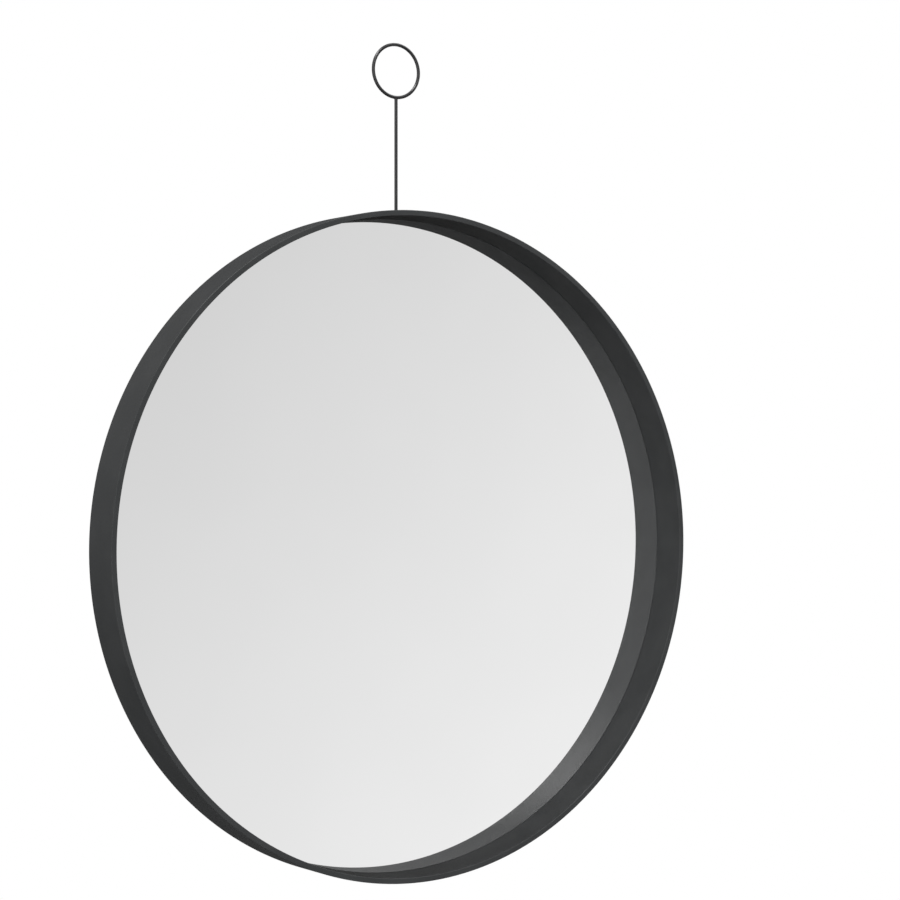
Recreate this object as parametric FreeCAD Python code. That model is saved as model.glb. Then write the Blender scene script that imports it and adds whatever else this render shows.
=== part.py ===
import FreeCAD, Part
import math
import os

# A round mirror in a deep hoop of flat steel, hung by a ring on a thin rod.
# Sizes are in millimetres. +Z is up, the glass faces -Y and the wall is on the +Y side.
# The origin is the nail seat: the inside top of the hanger ring, in the middle of its wire.

# Frame hoop: a flat strip on edge, rolled into a circle
frame_diameter = 400.0
frame_depth = 30.0
frame_wall = 3.3
frame_edge_chamfer = 0.4

# Hanger: a rod through the top of the hoop with a wire ring on its end
hanger_height = 104.0  # from the top of the hoop to the top of the ring
ring_diameter = 34.0
ring_wire = 2.0
rod_diameter = 2.0
rod_setback = 3.0  # from the hoop's back edge to the rod's axis
rod_hole_clearance = 0.05
rod_cope = 0.4  # how far the rod's end laps round the ring's wire

# Welds on the hanger
foot_weld_leg = 0.8
ring_weld_leg = 0.5
ring_weld_side_inset = 0.2  # how far the ring's fillets stay inside the wire's sides
weld_root = 0.2  # how deep a fillet's blank reaches into the steel before it is trimmed

# Mirror glass, silvered on its back
glass_thickness = 2.0
glass_clearance = 0.1
glass_arris = 0.25

# Back panel of hardboard
panel_thickness = 3.0
panel_clearance = 0.6
panel_inset = 0.2  # from the hoop's back edge to the panel's back

# Lugs welded inside the hoop, between the glass and the panel
lug_count = 6
lug_width = 18.0
lug_reach = 16.0
lug_thickness = 1.0
lug_fit_gap = 0.1  # between a lug's end and the hoop's wall
lug_glass_clearance = 0.5
lug_weld_leg = 3.0

# Countersunk screws from behind, through the panel into the lugs
screw_diameter = 3.0
screw_head_diameter = 6.0
screw_head_land = 0.2
screw_thread_clearance = 0.05
screw_hole_clearance = 0.2
countersink_clearance = 0.05
screw_hole_inset = 9.0  # from the hoop's wall to the screw's axis

# Foam tape strips between the glass and the panel
tape_count = 4
tape_width = 25.0
tape_lug_clearance = 6.0

# Places that follow from the sizes above
frame_radius = frame_diameter / 2
inner_radius = frame_radius - frame_wall
ring_radius = (ring_diameter - ring_wire) / 2
ring_centre_z = ring_wire - ring_diameter / 2
ring_bottom_z = ring_centre_z - ring_radius  # middle of the wire at the ring's lowest point
frame_top_z = ring_wire - hanger_height
frame_centre_z = frame_top_z - frame_radius
frame_back_y = rod_setback
frame_front_y = frame_back_y - frame_depth
panel_back_y = frame_back_y - panel_inset
panel_front_y = panel_back_y - panel_thickness
tape_thickness = lug_thickness + lug_glass_clearance
glass_back_y = panel_front_y - tape_thickness
glass_front_y = glass_back_y - glass_thickness
screw_circle_radius = inner_radius - screw_hole_inset
tape_field_radius = inner_radius - lug_reach - tape_lug_clearance
lug_angles = [360.0 * number / lug_count for number in range(lug_count)]

UP = FreeCAD.Vector(0, 0, 1)
TO_WALL = FreeCAD.Vector(0, 1, 0)
MIRROR_CENTRE = FreeCAD.Vector(0, 0, frame_centre_z)


def disc(radius, front_y, thickness):
    """A flat round disc on the mirror's axis."""
    centre = FreeCAD.Vector(0, front_y, frame_centre_z)
    return Part.makeCylinder(radius, thickness, centre, TO_WALL)


def round_edges(shape):
    """The full-circle edges of a shape."""
    return [edge for edge in shape.Edges if isinstance(edge.Curve, Part.Circle)]


def extruded(edges, start_y, thickness):
    """A solid from a closed outline drawn at y = 0 in the X-Z plane."""
    face = Part.Face(Part.Wire(edges))
    face.translate(FreeCAD.Vector(0, start_y, 0))
    return face.extrude(FreeCAD.Vector(0, thickness, 0))


def flat_point(x, z):
    """A point of an outline in the X-Z plane."""
    return FreeCAD.Vector(x, 0, z)


def line(start, end):
    return Part.makeLine(start, end)


def arc(start, middle, end):
    return Part.Arc(start, middle, end).toShape()


def round_the_mirror(shape, angle):
    """A shape drawn round the Y axis, pointing along +X, turned and moved to its place in the hoop."""
    placed = shape.copy()
    placed.rotate(FreeCAD.Vector(0, 0, 0), TO_WALL, -angle)
    placed.translate(MIRROR_CENTRE)
    return placed


def rod_bar(radius, low_z, high_z):
    """A round bar on the hanger rod's axis."""
    return Part.makeCylinder(radius, high_z - low_z, FreeCAD.Vector(0, 0, low_z), UP)


def frame_hoop():
    """The rolled strip with eased rims and the drilled hole for the rod."""
    hoop = disc(frame_radius, frame_front_y, frame_depth)
    hoop = hoop.cut(disc(inner_radius, frame_front_y, frame_depth))
    hoop = hoop.makeChamfer(frame_edge_chamfer, round_edges(hoop))
    hole_radius = rod_diameter / 2 + rod_hole_clearance
    return hoop.cut(rod_bar(hole_radius, frame_centre_z, frame_top_z + frame_wall))


def hanger_ring():
    """The wire ring, in the plane of the mirror."""
    centre = FreeCAD.Vector(0, 0, ring_centre_z)
    return Part.makeTorus(ring_radius, ring_wire / 2, centre, TO_WALL)


def hanger_rod():
    """The rod, flush inside the hoop and coped round the ring's wire at its top."""
    foot_z = frame_centre_z + inner_radius
    top_z = ring_bottom_z - ring_wire / 2 + rod_cope
    return rod_bar(rod_diameter / 2, foot_z, top_z).cut(hanger_ring())


def rod_foot_weld():
    """The fillet round the rod where it leaves the hoop."""
    rod_side = rod_diameter / 2
    root_z = frame_top_z - weld_root
    corners = [
        flat_point(rod_side, root_z),
        flat_point(rod_side + foot_weld_leg + weld_root, root_z),
        flat_point(rod_side, frame_top_z + foot_weld_leg),
    ]
    face = Part.Face(Part.makePolygon(corners + corners[:1]))
    bead = face.revolve(FreeCAD.Vector(0, 0, 0), UP, 360)
    return bead.cut(disc(frame_radius, frame_front_y, frame_depth))


def ring_weld():
    """The two fillets between the rod and the underside of the ring."""
    rod_side = rod_diameter / 2
    half_width = min(rod_diameter, ring_wire) / 2 - ring_weld_side_inset
    under_z = ring_bottom_z - ring_wire / 2
    heel_z = under_z - ring_weld_leg
    toe = rod_side + ring_weld_leg
    corners = [
        flat_point(0, ring_bottom_z),
        flat_point(0, heel_z),
        flat_point(rod_side, heel_z),
        flat_point(toe, under_z + weld_root),
        flat_point(toe, ring_bottom_z),
    ]
    blank = extruded([Part.makePolygon(corners + corners[:1])], -half_width, 2 * half_width)
    rod = rod_bar(rod_side, heel_z - weld_root, ring_bottom_z)
    fillet = blank.cut(rod).cut(hanger_ring())
    other_side = fillet.mirror(FreeCAD.Vector(0, 0, 0), FreeCAD.Vector(1, 0, 0))
    return Part.makeCompound([fillet, other_side])


def mirror_glass():
    """The silvered disc with ground edges."""
    glass = disc(inner_radius - glass_clearance, glass_front_y, glass_thickness)
    return glass.makeChamfer(glass_arris, round_edges(glass))


def panel_lug(angle):
    """One lug: a strip with a round tip, its other end cut to the curve of the hoop's wall."""
    half = lug_width / 2
    end_radius = inner_radius - lug_fit_gap
    end_x = math.sqrt(end_radius**2 - half**2)
    tip_x = inner_radius - lug_reach
    tip_centre_x = tip_x + half
    outline = [
        line(flat_point(tip_centre_x, -half), flat_point(end_x, -half)),
        arc(flat_point(end_x, -half), flat_point(end_radius, 0), flat_point(end_x, half)),
        line(flat_point(end_x, half), flat_point(tip_centre_x, half)),
        arc(flat_point(tip_centre_x, half), flat_point(tip_x, 0), flat_point(tip_centre_x, -half)),
    ]
    lug = extruded(outline, panel_front_y - lug_thickness, lug_thickness)
    hole_foot = FreeCAD.Vector(screw_circle_radius, panel_front_y - lug_thickness, 0)
    hole_radius = screw_diameter / 2 + screw_thread_clearance
    lug = lug.cut(Part.makeCylinder(hole_radius, lug_thickness, hole_foot, TO_WALL))
    return round_the_mirror(lug, angle)


def lug_welds():
    """A fillet at each side of each lug, filling the corner that it makes with the hoop's wall."""
    half = lug_width / 2
    toe = half + lug_weld_leg
    corner_x = math.sqrt(inner_radius**2 - half**2)
    wall_x = math.sqrt(inner_radius**2 - toe**2)
    outline = [
        line(flat_point(corner_x - lug_weld_leg, half), flat_point(inner_radius, half)),
        line(flat_point(inner_radius, half), flat_point(inner_radius, toe)),
        line(flat_point(inner_radius, toe), flat_point(wall_x, toe)),
        line(flat_point(wall_x, toe), flat_point(corner_x - lug_weld_leg, half)),
    ]
    lug_front_y = panel_front_y - lug_thickness
    blank = extruded(outline, lug_front_y, lug_thickness)
    bore = Part.makeCylinder(inner_radius, lug_thickness, FreeCAD.Vector(0, lug_front_y, 0), TO_WALL)
    fillet = blank.common(bore)
    other_side = fillet.mirror(FreeCAD.Vector(0, 0, 0), UP)
    pair = Part.makeCompound([fillet, other_side])
    welds = [round_the_mirror(pair, angle) for angle in lug_angles]
    return Part.makeCompound([solid for weld in welds for solid in weld.Solids])


def screw_blank(shank_radius, head_radius, land, length):
    """A countersunk screw's form along Y, its flat head at the panel's back, before it is placed."""
    cone_end = land + head_radius - shank_radius
    centre = screw_circle_radius
    profile = [
        FreeCAD.Vector(centre, panel_back_y, 0),
        FreeCAD.Vector(centre + head_radius, panel_back_y, 0),
        FreeCAD.Vector(centre + head_radius, panel_back_y - land, 0),
        FreeCAD.Vector(centre + shank_radius, panel_back_y - cone_end, 0),
        FreeCAD.Vector(centre + shank_radius, panel_back_y - length, 0),
        FreeCAD.Vector(centre, panel_back_y - length, 0),
    ]
    face = Part.Face(Part.makePolygon(profile + profile[:1]))
    return face.revolve(profile[0], TO_WALL, 360)


def panel_screws():
    """The countersunk screws, flush with the panel's back and with the lugs' fronts."""
    length = panel_thickness + lug_thickness
    screw = screw_blank(screw_diameter / 2, screw_head_diameter / 2, screw_head_land, length)
    return Part.makeCompound([round_the_mirror(screw, angle) for angle in lug_angles])


def back_panel():
    """The hardboard disc with its countersunk holes."""
    panel = disc(inner_radius - panel_clearance, panel_front_y, panel_thickness)
    hole = screw_blank(
        screw_diameter / 2 + screw_hole_clearance,
        screw_head_diameter / 2 + countersink_clearance,
        screw_head_land,
        panel_thickness,
    )
    return panel.cut(Part.makeCompound([round_the_mirror(hole, angle) for angle in lug_angles]))


def mirror_tape(number):
    """One upright strip of foam tape, as long as the circle inside the lugs allows."""
    pitch = 2 * tape_field_radius / (tape_count + 1)
    centre_x = (number - (tape_count - 1) / 2) * pitch
    outer_x = abs(centre_x) + tape_width / 2
    half_length = math.sqrt(tape_field_radius**2 - outer_x**2)
    corner = FreeCAD.Vector(centre_x - tape_width / 2, glass_back_y, frame_centre_z - half_length)
    return Part.makeBox(tape_width, tape_thickness, 2 * half_length, corner)


nodes = {
    "frame_hoop": frame_hoop(),
    "hanger_rod": hanger_rod(),
    "hanger_ring": hanger_ring(),
    "rod_foot_weld": rod_foot_weld(),
    "ring_weld": ring_weld(),
    "mirror_glass": mirror_glass(),
    "back_panel": back_panel(),
    "panel_screws": panel_screws(),
    "lug_welds": lug_welds(),
}
for number, angle in enumerate(lug_angles):
    nodes[f"panel_lug_{number + 1}"] = panel_lug(angle)
for number in range(tape_count):
    nodes[f"mirror_tape_{number + 1}"] = mirror_tape(number)

os.makedirs("parts", exist_ok=True)
for name, shape in nodes.items():
    shape.exportStep(f"parts/{name}.step")
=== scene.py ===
import math

import bmesh
import bpy
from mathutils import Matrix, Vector


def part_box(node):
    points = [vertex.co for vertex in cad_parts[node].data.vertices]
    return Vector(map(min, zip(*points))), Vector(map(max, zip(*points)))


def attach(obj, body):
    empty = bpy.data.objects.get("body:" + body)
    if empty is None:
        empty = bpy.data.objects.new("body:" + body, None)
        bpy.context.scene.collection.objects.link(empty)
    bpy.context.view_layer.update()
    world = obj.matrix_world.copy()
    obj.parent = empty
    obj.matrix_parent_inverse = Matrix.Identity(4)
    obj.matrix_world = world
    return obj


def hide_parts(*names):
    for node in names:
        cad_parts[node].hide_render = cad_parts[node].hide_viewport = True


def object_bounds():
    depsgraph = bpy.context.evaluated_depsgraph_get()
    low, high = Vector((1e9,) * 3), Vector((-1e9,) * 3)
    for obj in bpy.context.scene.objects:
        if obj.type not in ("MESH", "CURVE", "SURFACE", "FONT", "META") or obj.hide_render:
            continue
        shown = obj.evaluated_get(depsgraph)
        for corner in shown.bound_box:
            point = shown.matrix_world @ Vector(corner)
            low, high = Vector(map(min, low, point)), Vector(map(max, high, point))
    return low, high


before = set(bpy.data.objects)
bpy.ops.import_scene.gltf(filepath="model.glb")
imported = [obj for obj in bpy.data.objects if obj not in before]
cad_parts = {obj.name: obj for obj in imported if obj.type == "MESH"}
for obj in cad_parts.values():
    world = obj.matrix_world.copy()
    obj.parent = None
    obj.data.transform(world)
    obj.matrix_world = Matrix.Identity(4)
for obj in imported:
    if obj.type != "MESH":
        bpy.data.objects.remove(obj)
cad_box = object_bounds()

# A round mirror in a black steel hoop that hangs by a wire ring on a thin rod.
# Lengths are in metres. The glass faces -Y, the wall is on the +Y side and +Z is up.

# Places taken from the frame
hoop_low, hoop_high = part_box("frame_hoop")
hoop_centre = (hoop_low + hoop_high) / 2
hoop_radius = (hoop_high.x - hoop_low.x) / 2
hoop_depth = hoop_high.y - hoop_low.y
rod_top_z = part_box("hanger_rod")[1].z
glass_low, glass_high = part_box("mirror_glass")
glass_radius = (glass_high.x - glass_low.x) / 2
board_low, board_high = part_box("back_panel")
board_radius = (board_high.x - board_low.x) / 2
board_thickness = board_high.y - board_low.y
lug_low, lug_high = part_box("panel_lug_1")
lug_half_width = (lug_high.z - lug_low.z) / 2
screw_low, screw_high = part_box("panel_screws")
screw_length = screw_high.y - screw_low.y

# Hoop
hoop_wall = 0.0033
hoop_inner_radius = hoop_radius - hoop_wall
hoop_rim_round = 0.0004
hoop_sides = 360
rod_hole_radius = 0.00105

# Hanger
ring_diameter = 0.034
ring_wire = 0.002
ring_radius = (ring_diameter - ring_wire) / 2
ring_centre = Vector((0, 0, ring_wire - ring_diameter / 2))
ring_underside = ring_centre.z - ring_diameter / 2
ring_steps = 144
wire_sides = 28
rod_radius = 0.001
rod_foot_z = hoop_high.z - hoop_wall
rod_end_round = 0.00015

# Welds
foot_weld_leg = 0.0008
foot_weld_steps = 48  # round the rod
ring_weld_leg = 0.0005
ring_weld_turn = math.radians(53)  # how far a fillet reaches round the rod, each way from its middle
ring_weld_steps = 6  # sections on each side of a fillet's middle
ring_weld_thinning = 1.45  # how much faster a fillet thins out than it turns
lug_weld_leg = 0.003
weld_sink = 0.0002  # how deep a weld reaches into the steel beside it
weld_edge_round = 0.00004
hollow = 0.12  # bevel profile of a hollow cheek

# Glass and back board
glass_arris = 0.0001
board_edge_round = 0.0003

# Lugs between the glass and the board, with a screw each
lug_count = 6
lug_hole_radius = 0.00155
lug_edge_round = 0.0001
lug_tip_steps = 12

# Screws, on the lugs' axes
screw_circle = 0.1877  # radius of the circle on which they stand
screw_sides = 32
screw_shank_radius = 0.0015
screw_core_radius = 0.00122
screw_head_radius = 0.003
screw_head_land = 0.0002
screw_head_round = 0.00006
thread_pitch = 0.0005
thread_turns = 4
thread_steps = 24  # in each turn
thread_section_radius = 0.55 * thread_pitch
recess_slot = 0.00065
recess_span = 0.0031
recess_depth = 0.0013
recess_taper = 0.45
recess_spare = 0.00005  # how far the cutter stands out of the head
board_hole_radius = 0.0017
countersink_radius = 0.00305

# Foam strips
foam_count = 4
foam_edge_round = 0.0005

# Bevel segments
chamfered = 1
eased = 2
rounded = 3
small_cheek = 5
large_cheek = 6

# Modelling tolerances
hair = 1e-6  # how far from a place a point still counts as there
merge_distance = 1e-7
aligned = 0.9  # cosine from which two directions count as the same
sharp_angle = math.radians(40)
smooth_angle = math.radians(35)
cutter_spare = 0.01  # how far a cutter reaches past what it cuts
facing_out = (math.radians(90), 0, 0)  # turns a round primitive's axis along Y

# Camera, fitted to the edges of the hoop
camera_place = (-0.74764, -1.21560, -0.25666)
camera_azimuth = 32.906
camera_tilt_up = 0.4854
camera_lens = 94.328

# Floor
floor_drop = 0.35  # below the lowest point of the mirror
floor_radius = 1.8
floor_solid_radius = 0.7
floor_fade_radius = 1.7
floor_sides = 96
floor_colour = (0.88, 0.88, 0.88, 1)

# Soft light around the mirror, by the direction it comes from. The room's light is the same all round.
room_light = 0.1
left_glow = {"towards": (-0.753, 0.116, 0.648), "low": 0.2, "high": 1, "dim": room_light, "bright": 0.91}
front_glow = {"towards": (-0.645, -0.764, 0.0), "low": 0.52, "high": 1, "dim": 0, "bright": 1.47}
corner_glow = {"towards": (0.45, -0.75, 0.48), "low": 0.8, "high": 1, "dim": 0, "bright": 0.4}
right_glow = {"towards": (0.661, -0.105, 0.743), "low": 0.7, "high": 1, "dim": 0, "bright": 3.29}
low_glow = {"towards": (0.5, -0.2, -0.8426), "low": 0.87, "high": 1, "dim": 0, "bright": 1.4}

# The screen that only the glass reflects, brighter on two sides
right_screen = {"towards": (0.799, 0, -0.6015), "low": 0.207, "high": 0.667, "dim": 0.68, "bright": 1.0}
left_screen = {"towards": (-0.8, -0.3, 0.52), "low": 0.06, "high": 0.9, "dim": 0, "bright": 0.32}
white = (1, 1, 1, 1)

# Lamps, placed from the middle of the hoop
front_lamp = {"place": (0.0, -1.85, 1.19), "size": 0.6, "power": 7.8}
back_lamp = {"place": (0.6, 2.0, 0.0), "size": 1.0, "power": 32.0}
glint_lamp = {"place": (-0.70, -0.35, 1.65), "size": 0.6, "power": 35.0}


# Modelling tools

def deselect():
    """Deselects every object."""
    bpy.ops.object.select_all(action="DESELECT")


def settle(name):
    """Names the piece that was just added and puts its place into its mesh."""
    piece = bpy.context.active_object
    piece.name = name
    piece.data.name = name
    bpy.ops.object.transform_apply(location=True, rotation=True, scale=True)
    return piece


def activate(piece):
    """Selects only this piece, for the operators that follow."""
    deselect()
    piece.select_set(True)
    bpy.context.view_layer.objects.active = piece


def choose(piece, kind, test):
    """In edit mode, selects only the verts, edges or faces that pass the test."""
    bpy.ops.mesh.select_mode(type=kind)
    bpy.ops.mesh.select_all(action="DESELECT")
    mesh = bmesh.from_edit_mesh(piece.data)
    elements = {"VERT": mesh.verts, "EDGE": mesh.edges, "FACE": mesh.faces}[kind]
    for element in elements:
        if test(element):
            element.select_set(True)
    mesh.select_flush_mode()
    bmesh.update_edit_mesh(piece.data)


def middle(edge):
    """The middle of an edge."""
    return (edge.verts[0].co + edge.verts[1].co) / 2


def is_along(edge, axis):
    """Whether an edge runs along the given axis (0, 1 or 2)."""
    return abs((edge.verts[1].co - edge.verts[0].co).normalized()[axis]) > aligned


def is_sharp(edge):
    """Whether the two faces at an edge meet at a clear angle."""
    return len(edge.link_faces) == 2 and edge.calc_face_angle() > sharp_angle


def bevel_edges(piece, size, segments, test=is_sharp, profile=0.5):
    """Bevels the chosen edges of a piece. A profile of 0.5 is a round one."""
    activate(piece)
    bpy.ops.object.mode_set(mode="EDIT")
    choose(piece, "EDGE", test)
    bpy.ops.mesh.bevel(
        offset=size, offset_type="OFFSET", segments=segments, profile=profile, affect="EDGES",
    )
    bpy.ops.object.mode_set(mode="OBJECT")


def carve(piece, cutter, operation="DIFFERENCE"):
    """Cuts the piece with the cutter's shape, or keeps only what they share, and removes the cutter."""
    activate(piece)
    modifier = piece.modifiers.new("carve", "BOOLEAN")
    modifier.operation = operation
    modifier.solver = "EXACT"
    modifier.object = cutter
    bpy.ops.object.modifier_apply(modifier=modifier.name)
    bpy.data.objects.remove(cutter)


def mirror_across(piece, axis):
    """Adds the piece's other half, mirrored across the given axis (0, 1 or 2)."""
    activate(piece)
    modifier = piece.modifiers.new("other_half", "MIRROR")
    modifier.use_axis = [number == axis for number in range(3)]
    bpy.ops.object.modifier_apply(modifier=modifier.name)


def smooth(piece):
    """Smooths the shading, while large flat faces stay flat right up to their rounded edges."""
    activate(piece)
    bpy.ops.object.shade_smooth_by_angle(angle=smooth_angle)
    weights = piece.modifiers.new("flat_faces", "WEIGHTED_NORMAL")
    weights.keep_sharp = True
    bpy.ops.object.modifier_apply(modifier=weights.name)


def tidy_mesh(piece):
    """Merges doubles and points the faces outwards."""
    activate(piece)
    bpy.ops.object.mode_set(mode="EDIT")
    bpy.ops.mesh.select_all(action="SELECT")
    bpy.ops.mesh.remove_doubles(threshold=merge_distance)
    bpy.ops.mesh.normals_make_consistent(inside=False)
    bpy.ops.object.mode_set(mode="OBJECT")


def add_block(name, low, high):
    """A box between two corners, to be shaped further."""
    deselect()
    size = Vector(high) - Vector(low)
    bpy.ops.mesh.primitive_cube_add(size=1, location=(Vector(low) + Vector(high)) / 2, scale=size)
    return settle(name)


def add_disc(name, radius, low_y, high_y):
    """A round disc on the hoop's axis, to be shaped further."""
    deselect()
    bpy.ops.mesh.primitive_cylinder_add(
        vertices=hoop_sides, radius=radius, depth=high_y - low_y,
        location=(0, (low_y + high_y) / 2, hoop_centre.z), rotation=facing_out,
    )
    return settle(name)


def turned_copy(piece, name, number):
    """A copy of the piece with its own mesh, turned round the hoop's axis to its place."""
    activate(piece)
    bpy.ops.object.duplicate()
    copy = bpy.context.active_object
    copy.name = name
    copy.data.name = name
    bpy.ops.object.mode_set(mode="EDIT")
    bpy.ops.mesh.select_all(action="SELECT")
    bpy.ops.transform.rotate(
        value=math.tau * number / lug_count, orient_axis="Y", center_override=(0, 0, hoop_centre.z),
    )
    bpy.ops.object.mode_set(mode="OBJECT")
    return copy


def hang_on(piece, material, node):
    """Gives the piece its finish and its place in the frame."""
    if material:
        piece.data.materials.append(material)
    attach(piece, "root")
    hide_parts(node)


# Shader building

def add_node(tree, kind, values=None, **settings):
    """A shader node with its settings, its constant inputs and its links."""
    node = tree.nodes.new(kind)
    for name, value in settings.items():
        setattr(node, name, value)
    for name, value in (values or {}).items():
        if isinstance(value, bpy.types.NodeSocket):
            tree.links.new(value, node.inputs[name])
        else:
            node.inputs[name].default_value = value
    return node


def mix_colours(tree, factor, first, second, blend="MIX"):
    """The colour between two others. A colour Mix node has them at inputs 6 and 7 and output 2."""
    values = {"Factor": factor, 6: first, 7: second}
    return add_node(tree, "ShaderNodeMix", values, data_type="RGBA", blend_type=blend).outputs[2]


def new_group(name, inputs, outputs):
    """An empty shader node group with named sockets, and its two end nodes."""
    tree = bpy.data.node_groups.new(name, "ShaderNodeTree")
    for socket, kind in inputs.items():
        tree.interface.new_socket(socket, in_out="INPUT", socket_type=kind)
    for socket, kind in outputs.items():
        tree.interface.new_socket(socket, in_out="OUTPUT", socket_type=kind)
    return tree, tree.nodes.new("NodeGroupInput").outputs, tree.nodes.new("NodeGroupOutput").inputs


def make_grain_group():
    """Fine grain: a value between Low and High, and the same grain as a height."""
    tree, given, result = new_group(
        "fine_grain",
        {
            "Vector": "NodeSocketVector", "Scale": "NodeSocketFloat",
            "Low": "NodeSocketFloat", "High": "NodeSocketFloat",
        },
        {"Value": "NodeSocketFloat", "Height": "NodeSocketFloat"},
    )
    noise = add_node(
        tree, "ShaderNodeTexNoise",
        {"Vector": given["Vector"], "Scale": given["Scale"], "Detail": 3.0, "Roughness": 0.55},
    )
    spread = add_node(
        tree, "ShaderNodeMapRange",
        {
            "Value": noise.outputs["Fac"], "From Min": 0.3, "From Max": 0.7,
            "To Min": given["Low"], "To Max": given["High"],
        },
    )
    tree.links.new(spread.outputs["Result"], result["Value"])
    tree.links.new(noise.outputs["Fac"], result["Height"])
    return tree


def make_patch_group():
    """Broad soft patches that drift between two colours."""
    tree, given, result = new_group(
        "soft_patches",
        {
            "Vector": "NodeSocketVector", "Scale": "NodeSocketFloat",
            "Dark": "NodeSocketColor", "Light": "NodeSocketColor",
        },
        {"Color": "NodeSocketColor"},
    )
    noise = add_node(
        tree, "ShaderNodeTexNoise",
        {"Vector": given["Vector"], "Scale": given["Scale"], "Detail": 2.0, "Roughness": 0.5},
    )
    mask = add_node(
        tree, "ShaderNodeMapRange",
        {"Value": noise.outputs["Fac"], "From Min": 0.35, "From Max": 0.65},
        interpolation_type="SMOOTHSTEP",
    )
    colour = mix_colours(tree, mask.outputs["Result"], given["Dark"], given["Light"])
    tree.links.new(colour, result["Color"])
    return tree


fine_grain = make_grain_group()
soft_patches = make_patch_group()


def new_material(name):
    """A material with its node tree, its shader and its Object coordinates."""
    material = bpy.data.materials.new(name)
    material.use_nodes = True
    tree = material.node_tree
    place = add_node(tree, "ShaderNodeTexCoord").outputs["Object"]
    return material, tree, tree.nodes["Principled BSDF"], place


def add_patches(tree, shader, place, scale, dark, light):
    """Colours the shader with soft patches."""
    patches = add_node(
        tree, "ShaderNodeGroup",
        {"Vector": place, "Scale": scale, "Dark": (*dark, 1), "Light": (*light, 1)},
        node_tree=soft_patches,
    )
    tree.links.new(patches.outputs["Color"], shader.inputs["Base Color"])
    return patches.outputs["Color"]


def add_grain(tree, place, scale, low, high):
    """A fine grain's outputs, with its value between low and high."""
    return add_node(
        tree, "ShaderNodeGroup",
        {"Vector": place, "Scale": scale, "Low": low, "High": high},
        node_tree=fine_grain,
    ).outputs


def roughen(tree, shader, roughness):
    """Lets a grain's value set the shader's roughness."""
    tree.links.new(roughness, shader.inputs["Roughness"])


def emboss(tree, shader, height, strength, depth):
    """Embosses the shader's surface with a grain's height."""
    bump = add_node(
        tree, "ShaderNodeBump", {"Height": height, "Strength": strength, "Distance": depth},
    )
    tree.links.new(bump.outputs["Normal"], shader.inputs["Normal"])


def coat_material():
    """Satin black powder coat: near black with a faint orange peel."""
    material, tree, shader, place = new_material("satin_black_coat")
    add_patches(
        tree, shader, place, scale=40.0, dark=(0.039, 0.0408, 0.0418), light=(0.044, 0.0458, 0.0468),
    )
    shader.inputs["Specular IOR Level"].default_value = 0.15
    peel = add_grain(tree, place, scale=900.0, low=0.38, high=0.46)
    roughen(tree, shader, peel["Value"])
    emboss(tree, shader, peel["Height"], strength=0.06, depth=0.00003)
    return material


def wire_material():
    """Black enamel on the thin wire, with more gloss than the hoop's coat."""
    material, tree, shader, place = new_material("black_wire_enamel")
    add_patches(
        tree, shader, place, scale=40.0, dark=(0.019, 0.019, 0.020), light=(0.023, 0.023, 0.024),
    )
    shader.inputs["Specular IOR Level"].default_value = 0.35
    grain = add_grain(tree, place, scale=2500.0, low=0.24, high=0.30)
    roughen(tree, shader, grain["Value"])
    return material


def silver_material():
    """The silvered face of the glass, with the faintest film on it."""
    material, tree, shader, place = new_material("silvered_face")
    add_patches(
        tree, shader, place, scale=9.0, dark=(0.895, 0.895, 0.895), light=(0.905, 0.905, 0.905),
    )
    shader.inputs["Metallic"].default_value = 1.0
    film = add_grain(tree, place, scale=60.0, low=0.001, high=0.003)
    roughen(tree, shader, film["Value"])
    return material


def ground_edge_material():
    """The ground edge of the glass. Its grey-green is the glass's own, and its darkness is painted shade of
    the narrow gap it sits in.
    """
    material, tree, shader, place = new_material("ground_glass_edge")
    add_patches(
        tree, shader, place, scale=600.0, dark=(0.080, 0.100, 0.094), light=(0.120, 0.148, 0.136),
    )
    scratches = add_grain(tree, place, scale=5000.0, low=0.35, high=0.55)
    roughen(tree, shader, scratches["Value"])
    emboss(tree, shader, scratches["Height"], strength=0.3, depth=0.00003)
    return material


def backing_paint_material():
    """The grey paint that guards the silvering."""
    material, tree, shader, place = new_material("backing_paint")
    add_patches(tree, shader, place, scale=25.0, dark=(0.16, 0.17, 0.18), light=(0.20, 0.21, 0.22))
    grain = add_grain(tree, place, scale=500.0, low=0.45, high=0.60)
    roughen(tree, shader, grain["Value"])
    emboss(tree, shader, grain["Height"], strength=0.2, depth=0.00004)
    return material


def hardboard_material():
    """Brown hardboard: pressed fibres with darker flecks under a faint polish."""
    material, tree, shader, place = new_material("brown_hardboard")
    brown = add_patches(
        tree, shader, place, scale=9.0, dark=(0.185, 0.115, 0.068), light=(0.205, 0.128, 0.077),
    )
    turned = add_node(
        tree, "ShaderNodeMapping",
        {"Vector": place, "Rotation": (0, math.radians(35), 0), "Scale": (500.0, 500.0, 2600.0)},
    )
    fibres = add_grain(tree, turned.outputs["Vector"], scale=1.0, low=0.0, high=1.0)
    flecked = mix_colours(tree, fibres["Value"], brown, (0.80, 0.77, 0.73, 1), "MULTIPLY")
    tree.links.new(flecked, shader.inputs["Base Color"])
    shader.inputs["Specular IOR Level"].default_value = 0.25
    polish = add_grain(tree, place, scale=300.0, low=0.55, high=0.65)
    roughen(tree, shader, polish["Value"])
    emboss(tree, shader, fibres["Height"], strength=0.1, depth=0.00003)
    return material


def zinc_material():
    """Bright zinc plate on the screws."""
    material, tree, shader, place = new_material("bright_zinc")
    add_patches(tree, shader, place, scale=700.0, dark=(0.55, 0.56, 0.60), light=(0.68, 0.68, 0.68))
    shader.inputs["Metallic"].default_value = 0.5
    grain = add_grain(tree, place, scale=3500.0, low=0.22, high=0.40)
    roughen(tree, shader, grain["Value"])
    emboss(tree, shader, grain["Height"], strength=0.15, depth=0.00002)
    return material


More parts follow.
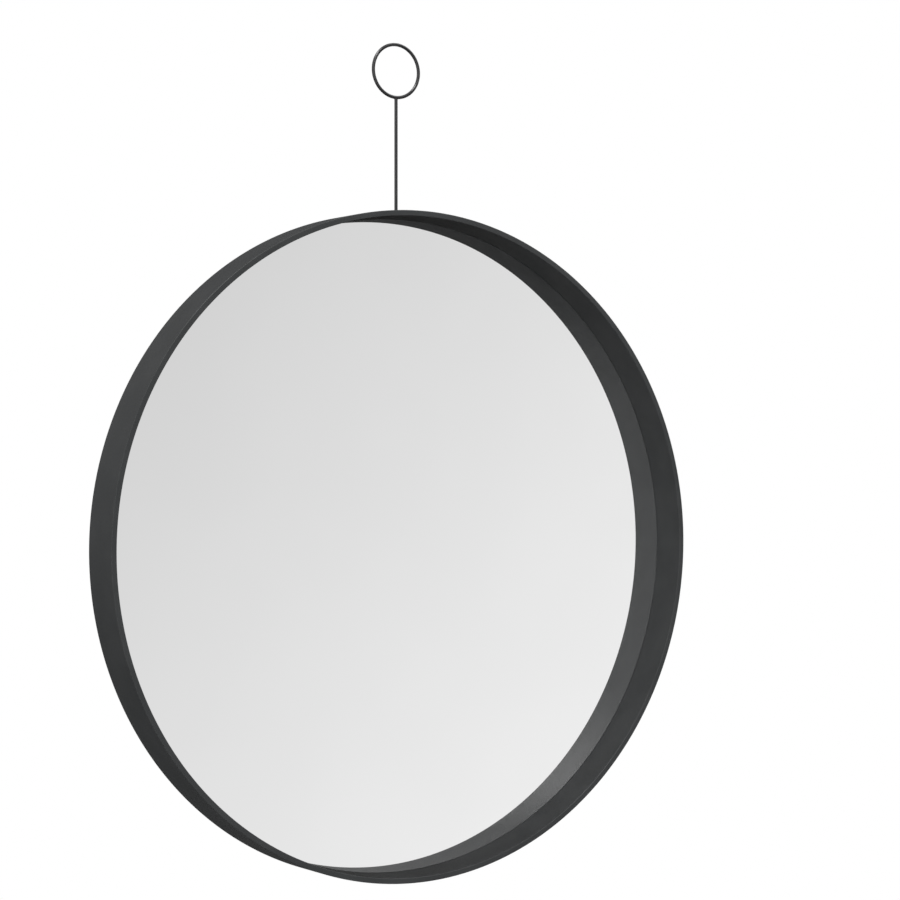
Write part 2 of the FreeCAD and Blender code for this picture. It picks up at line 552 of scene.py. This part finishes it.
def foam_material():
    """White foam of the mounting tape."""
    material, tree, shader, place = new_material("white_foam")
    add_patches(tree, shader, place, scale=120.0, dark=(0.76, 0.76, 0.74), light=(0.82, 0.82, 0.80))
    cells = add_grain(tree, place, scale=4000.0, low=0.80, high=0.95)
    roughen(tree, shader, cells["Value"])
    emboss(tree, shader, cells["Height"], strength=0.6, depth=0.0001)
    return material


black_coat = coat_material()
wire_enamel = wire_material()
silver = silver_material()
ground_edge = ground_edge_material()
backing_paint = backing_paint_material()
hardboard = hardboard_material()
zinc = zinc_material()
foam = foam_material()


# Pieces

def make_hoop():
    """The rolled strip, with rounded rims and the drilled hole for the rod."""
    deselect()
    bpy.ops.mesh.primitive_cylinder_add(
        vertices=hoop_sides, radius=hoop_radius, depth=hoop_depth,
        end_fill_type="NOTHING", location=hoop_centre, rotation=facing_out,
    )
    hoop = settle("hoop")
    wall = hoop.modifiers.new("wall", "SOLIDIFY")
    wall.thickness = hoop_wall
    wall.offset = -1
    wall.use_even_offset = True
    bpy.ops.object.modifier_apply(modifier=wall.name)
    bevel_edges(hoop, hoop_rim_round, rounded)
    bpy.ops.mesh.primitive_cylinder_add(
        vertices=wire_sides, radius=rod_hole_radius, depth=cutter_spare, location=(0, 0, hoop_high.z),
    )
    carve(hoop, settle("rod_drill"))
    smooth(hoop)
    hang_on(hoop, black_coat, "frame_hoop")


def make_ring_wire(name):
    """A closed ring of round wire, spun round its centre."""
    deselect()
    bpy.ops.mesh.primitive_circle_add(
        vertices=wire_sides, radius=ring_wire / 2, location=ring_centre + Vector((ring_radius, 0, 0)),
    )
    ring = settle(name)
    bpy.ops.object.mode_set(mode="EDIT")
    bpy.ops.mesh.select_all(action="SELECT")
    bpy.ops.mesh.spin(steps=ring_steps, angle=math.tau, center=ring_centre, axis=(0, 1, 0))
    bpy.ops.object.mode_set(mode="OBJECT")
    tidy_mesh(ring)
    return ring


def make_ring():
    """The ring that goes on the nail."""
    ring = make_ring_wire("ring")
    smooth(ring)
    hang_on(ring, wire_enamel, "hanger_ring")


def make_rod():
    """The rod, with a softened foot and a top that is coped round the ring's wire."""
    deselect()
    bpy.ops.mesh.primitive_cylinder_add(
        vertices=wire_sides, radius=rod_radius, depth=rod_top_z - rod_foot_z,
        location=(0, 0, (rod_top_z + rod_foot_z) / 2),
    )
    rod = settle("rod")
    bevel_edges(
        rod, rod_end_round, eased,
        lambda edge: is_sharp(edge) and middle(edge).z < rod_foot_z + rod_radius,
    )
    carve(rod, make_ring_wire("ring_cutter"))
    smooth(rod)
    hang_on(rod, wire_enamel, "hanger_rod")


def make_foot_weld():
    """The fillet round the rod's foot: a square with one hollowed corner, spun round the rod."""
    deselect()
    side = foot_weld_leg + weld_sink
    centre = Vector((rod_radius - weld_sink + side / 2, 0, hoop_high.z - weld_sink + side / 2))
    bpy.ops.mesh.primitive_plane_add(size=side, location=centre, rotation=facing_out)
    weld = settle("foot_weld")
    bpy.ops.object.mode_set(mode="EDIT")
    choose(weld, "VERT", lambda vert: vert.co.x > centre.x and vert.co.z > centre.z)
    bpy.ops.mesh.bevel(offset=foot_weld_leg, segments=small_cheek, profile=hollow, affect="VERTICES")
    bpy.ops.mesh.select_all(action="SELECT")
    bpy.ops.mesh.delete(type="ONLY_FACE")
    bpy.ops.mesh.select_all(action="SELECT")
    bpy.ops.mesh.spin(steps=foot_weld_steps, angle=math.tau, center=(0, 0, 0), axis=(0, 0, 1))
    bpy.ops.object.mode_set(mode="OBJECT")
    tidy_mesh(weld)
    smooth(weld)
    hang_on(weld, black_coat, "rod_foot_weld")


def ring_weld_section(step):
    """The corner where the rod meets the ring's wire, as thick as itself, and the fillet's size there."""
    turn = ring_weld_turn * step / ring_weld_steps
    reach = rod_radius * math.cos(turn)
    corner = Vector((reach, rod_radius * math.sin(turn), ring_underside + rod_radius - reach))
    return corner, math.cos(ring_weld_thinning * turn)


def make_ring_weld():
    """The two fillets between the rod and the ring, which thin out where the two wires round away."""
    deselect()
    corner, share = ring_weld_section(-ring_weld_steps)
    side = (ring_weld_leg + weld_sink) * share
    shift = (ring_weld_leg - weld_sink) / 2 * share
    centre = corner + Vector((shift, 0, -shift))
    bpy.ops.mesh.primitive_plane_add(size=side, location=centre, rotation=facing_out)
    weld = settle("ring_weld_bead")
    bpy.ops.object.mode_set(mode="EDIT")
    choose(weld, "VERT", lambda vert: vert.co.x > centre.x and vert.co.z < centre.z)
    bpy.ops.mesh.bevel(
        offset=ring_weld_leg * share, segments=small_cheek, profile=hollow, affect="VERTICES",
    )
    bpy.ops.mesh.select_all(action="SELECT")
    for step in range(1 - ring_weld_steps, ring_weld_steps + 1):
        next_corner, next_share = ring_weld_section(step)
        growth = next_share / share
        bpy.ops.mesh.extrude_region_move(TRANSFORM_OT_translate={"value": next_corner - corner})
        bpy.ops.transform.resize(value=(growth, 1, growth), center_override=next_corner)
        corner = next_corner
        share = next_share
    bpy.ops.object.mode_set(mode="OBJECT")
    mirror_across(weld, 0)
    tidy_mesh(weld)
    smooth(weld)
    hang_on(weld, wire_enamel, "ring_weld")


def make_glass():
    """The silvered disc with ground edges: silver in front, paint behind, ground glass between."""
    glass = add_disc("glass", glass_radius, glass_low.y, glass_high.y)
    bevel_edges(glass, glass_arris, chamfered)
    for material in (ground_edge, silver, backing_paint):
        glass.data.materials.append(material)
    for face in glass.data.polygons:
        if face.normal.y < -aligned:
            face.material_index = 1
        elif face.normal.y > aligned:
            face.material_index = 2
    smooth(glass)
    hang_on(glass, None, "mirror_glass")
    # The satin coat shows no second image of the screen by way of the glass.
    glass.visible_glossy = False


def make_lugs():
    """One lug with a round tip, a curved end and a drilled hole, copied round the hoop."""
    first = add_block("lug", lug_low, lug_high)
    bevel_edges(
        first, lug_half_width - hair, lug_tip_steps,
        lambda edge: middle(edge).x < lug_low.x + hair and is_along(edge, 1),
    )
    curve = add_disc("hoop_curve", lug_high.x, lug_low.y - cutter_spare, lug_high.y + cutter_spare)
    carve(first, curve, "INTERSECT")
    bpy.ops.mesh.primitive_cylinder_add(
        vertices=screw_sides, radius=lug_hole_radius, depth=cutter_spare,
        location=(screw_circle, lug_low.y, hoop_centre.z), rotation=facing_out,
    )
    carve(first, settle("lug_drill"))
    bevel_edges(first, lug_edge_round, eased)
    smooth(first)
    for number in range(lug_count):
        lug = turned_copy(first, f"lug_{number + 1}", number)
        hang_on(lug, black_coat, f"panel_lug_{number + 1}")
    bpy.data.objects.remove(first)


def make_lug_welds():
    """A fillet in the corner at each side of a lug, copied round the hoop."""
    corner = math.sqrt(hoop_inner_radius ** 2 - lug_half_width ** 2)
    low = Vector((corner - lug_weld_leg, lug_low.y, lug_half_width - weld_sink))
    high = Vector((corner + weld_sink / 2, lug_high.y, lug_half_width + lug_weld_leg))
    first = add_block("lug_weld", low, high)
    bevel_edges(
        first, lug_weld_leg, large_cheek,
        lambda edge: middle(edge).x < low.x + hair and middle(edge).z > high.z - hair, hollow,
    )
    bevel_edges(first, weld_edge_round, eased)
    mirror_across(first, 2)
    activate(first)
    bpy.ops.transform.translate(value=(0, 0, hoop_centre.z))
    bpy.ops.object.transform_apply(location=True, rotation=True, scale=True)
    smooth(first)
    for number in range(lug_count):
        weld = turned_copy(first, f"lug_weld_{number + 1}", number)
        hang_on(weld, black_coat, "lug_welds")
    bpy.data.objects.remove(first)


def make_countersunk_form(name, shank, head, length, spare):
    """A countersunk screw's round form on the first screw's axis. spare lengthens its head outwards."""
    deselect()
    top = board_high.y + spare
    head_foot = board_high.y - screw_head_land
    bpy.ops.mesh.primitive_cylinder_add(
        vertices=screw_sides, radius=head, depth=top - head_foot,
        location=(screw_circle, (top + head_foot) / 2, hoop_centre.z), rotation=facing_out,
    )
    form = settle(name)
    bpy.ops.object.mode_set(mode="EDIT")
    choose(form, "FACE", lambda face: face.normal.y < -aligned)
    cone = head - shank
    bpy.ops.mesh.extrude_region_move(TRANSFORM_OT_translate={"value": (0, -cone, 0)})
    bpy.ops.transform.resize(value=(shank / head, 1, shank / head))
    shank_length = length - screw_head_land - cone
    bpy.ops.mesh.extrude_region_move(TRANSFORM_OT_translate={"value": (0, -shank_length, 0)})
    bpy.ops.object.mode_set(mode="OBJECT")
    return form


def make_board():
    """The hardboard disc with its countersunk holes."""
    board = add_disc("back_board", board_radius, board_low.y, board_high.y)
    bevel_edges(board, board_edge_round, eased)
    form = make_countersunk_form(
        "hole_cutter", board_hole_radius, countersink_radius, 2 * board_thickness, board_thickness,
    )
    for number in range(lug_count):
        carve(board, turned_copy(form, "turned_cutter", number))
    bpy.data.objects.remove(form)
    smooth(board)
    hang_on(board, hardboard, "back_panel")


def make_cross_cutter():
    """A tapered cross, for the driver's recess in the first screw's head."""
    axis = Vector((screw_circle, board_high.y, hoop_centre.z))
    half = recess_slot / 2
    cutter = add_block(
        "cross_cutter",
        axis - Vector((half, recess_depth, half)), axis + Vector((half, recess_spare, half)),
    )
    bpy.ops.object.mode_set(mode="EDIT")
    choose(cutter, "FACE", lambda face: abs(face.normal.y) < aligned)
    arm = (recess_span - recess_slot) / 2
    bpy.ops.mesh.extrude_faces_move(TRANSFORM_OT_shrink_fatten={"value": arm})
    choose(cutter, "FACE", lambda face: face.normal.y < -aligned)
    bpy.ops.transform.resize(value=(recess_taper, 1, recess_taper), center_override=axis)
    bpy.ops.object.mode_set(mode="OBJECT")
    return cutter


def make_thread():
    """The first screw's thread: a three-sided coil, wound round the shank's core."""
    deselect()
    bpy.ops.mesh.primitive_circle_add(
        vertices=3, radius=thread_section_radius, rotation=(0, 0, math.radians(-90)),
    )
    thread = settle("thread")
    bpy.ops.object.mode_set(mode="EDIT")
    bpy.ops.mesh.select_all(action="SELECT")
    bpy.ops.transform.translate(value=(screw_shank_radius - thread_section_radius, 0, 0))
    bpy.ops.object.mode_set(mode="OBJECT")
    coil = thread.modifiers.new("coil", "SCREW")
    coil.axis = "Y"
    coil.screw_offset = thread_pitch
    coil.iterations = thread_turns
    coil.steps = thread_steps
    coil.render_steps = thread_steps
    bpy.ops.object.modifier_apply(modifier=coil.name)
    bpy.ops.object.mode_set(mode="EDIT")
    choose(thread, "EDGE", lambda edge: edge.is_boundary)
    bpy.ops.mesh.fill_holes(sides=0)
    bpy.ops.object.mode_set(mode="OBJECT")
    screw_end = board_high.y - screw_length
    thread.location = (screw_circle, screw_end + thread_pitch / 2, hoop_centre.z)
    bpy.ops.object.transform_apply(location=True, rotation=True, scale=True)
    tidy_mesh(thread)
    return thread


def make_screws():
    """One countersunk screw with a cross recess and a thread, copied round the hoop."""
    first = make_countersunk_form("screw", screw_core_radius, screw_head_radius, screw_length, 0)
    bevel_edges(first, screw_head_round, eased)
    carve(first, make_cross_cutter())
    thread = make_thread()
    activate(first)
    thread.select_set(True)
    bpy.ops.object.join()
    smooth(first)
    for number in range(lug_count):
        screw = turned_copy(first, f"screw_{number + 1}", number)
        hang_on(screw, zinc, "panel_screws")
    bpy.data.objects.remove(first)


def make_foam_strips():
    """The foam strips that hold the glass on the board, with rounded sides."""
    for number in range(1, foam_count + 1):
        node = f"mirror_tape_{number}"
        strip = add_block(f"foam_strip_{number}", *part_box(node))
        bevel_edges(strip, foam_edge_round, rounded)
        smooth(strip)
        hang_on(strip, foam, node)


make_hoop()
make_ring()
make_rod()
make_foot_weld()
make_ring_weld()
make_glass()
make_lugs()
make_lug_welds()
make_board()
make_screws()
make_foam_strips()


# Stage

def make_floor():
    """A pale round floor that fades into the backdrop. It is clear from below and leaves the light alone."""
    deselect()
    bpy.ops.mesh.primitive_circle_add(
        vertices=floor_sides, radius=floor_radius, fill_type="NGON",
        location=(0, 0, cad_box[0].z - floor_drop),
    )
    floor = settle("floor")
    material = bpy.data.materials.new("pale_floor")
    material.use_nodes = True
    tree = material.node_tree
    tree.nodes.clear()
    place = add_node(tree, "ShaderNodeTexCoord").outputs["Object"]
    flat = add_node(tree, "ShaderNodeVectorMath", {0: place, 1: (1, 1, 0)}, operation="MULTIPLY")
    reach = add_node(tree, "ShaderNodeVectorMath", {0: flat.outputs["Vector"]}, operation="LENGTH")
    fade = add_node(
        tree, "ShaderNodeMapRange",
        {"Value": reach.outputs["Value"], "From Min": floor_solid_radius, "From Max": floor_fade_radius},
        interpolation_type="SMOOTHSTEP",
    )
    underside = add_node(tree, "ShaderNodeNewGeometry").outputs["Backfacing"]
    hide = add_node(
        tree, "ShaderNodeMath", {0: fade.outputs["Result"], 1: underside}, operation="MAXIMUM",
    )
    paint = add_node(tree, "ShaderNodeBsdfDiffuse", {"Color": floor_colour})
    clear = add_node(tree, "ShaderNodeBsdfTransparent")
    mix = add_node(
        tree, "ShaderNodeMixShader",
        {0: hide.outputs["Value"], 1: paint.outputs["BSDF"], 2: clear.outputs["BSDF"]},
    )
    add_node(tree, "ShaderNodeOutputMaterial", {"Surface": mix.outputs["Shader"]})
    floor.data.materials.append(material)
    floor.visible_diffuse = False
    floor.visible_glossy = False
    floor.visible_shadow = False


def add_glow(tree, direction, towards, low, high, dim, bright):
    """A brightness that grows from dim to bright as the cosine to a direction grows from low to high."""
    cosine = add_node(tree, "ShaderNodeVectorMath", {0: direction, 1: towards}, operation="DOT_PRODUCT")
    return add_node(
        tree, "ShaderNodeMapRange",
        {
            "Value": cosine.outputs["Value"], "From Min": low, "From Max": high,
            "To Min": dim, "To Max": bright,
        },
        interpolation_type="SMOOTHSTEP",
    ).outputs["Result"]


def add_glows(tree, direction, first, *others):
    """The sum of some glows."""
    total = add_glow(tree, direction, **first)
    for glow in others:
        more = add_glow(tree, direction, **glow)
        total = add_node(tree, "ShaderNodeMath", {0: total, 1: more}, operation="ADD").outputs["Value"]
    return total


def make_world():
    """White to the eye, soft light from five sides, and a graded screen that the glass reflects."""
    world = bpy.data.worlds.new("studio")
    bpy.context.scene.world = world
    world.use_nodes = True
    tree = world.node_tree
    tree.nodes.clear()
    direction = add_node(tree, "ShaderNodeTexCoord").outputs["Generated"]
    fill = add_glows(tree, direction, left_glow, front_glow, corner_glow, right_glow, low_glow)
    screen = add_glows(tree, direction, right_screen, left_screen)
    path = add_node(tree, "ShaderNodeLightPath").outputs
    light = add_node(
        tree, "ShaderNodeMix", {"Factor": path["Is Singular Ray"], "A": fill, "B": screen},
    ).outputs["Result"]
    strength = add_node(
        tree, "ShaderNodeMix", {"Factor": path["Is Camera Ray"], "A": light, "B": 1.0},
    ).outputs["Result"]
    background = add_node(tree, "ShaderNodeBackground", {"Color": white, "Strength": strength})
    add_node(tree, "ShaderNodeOutputWorld", {"Surface": background.outputs["Background"]})


def make_lamp(name, place, size, power):
    """A soft round lamp that points at the middle of the hoop."""
    aim = (-Vector(place)).to_track_quat("-Z", "Y").to_euler()
    bpy.ops.object.light_add(type="AREA", location=hoop_centre + Vector(place), rotation=aim)
    lamp = bpy.context.active_object
    lamp.name = name
    lamp.data.shape = "DISK"
    lamp.data.size = size
    lamp.data.energy = power
    return lamp


def make_camera():
    """The camera that looks at the mirror from its left."""
    turn = (math.radians(90 + camera_tilt_up), 0, math.radians(-camera_azimuth))
    bpy.ops.object.camera_add(location=camera_place, rotation=turn)
    camera = bpy.context.active_object
    camera.data.lens = camera_lens
    bpy.context.scene.camera = camera


make_floor()
make_world()
make_lamp("front_lamp", **front_lamp)
# The lamp behind lights the back and shows in no coat. The lamp above only shows as glints in the coats.
make_lamp("back_lamp", **back_lamp).visible_glossy = False
make_lamp("glint_lamp", **glint_lamp).visible_diffuse = False
make_camera()
bpy.context.scene.view_settings.view_transform = "Standard"
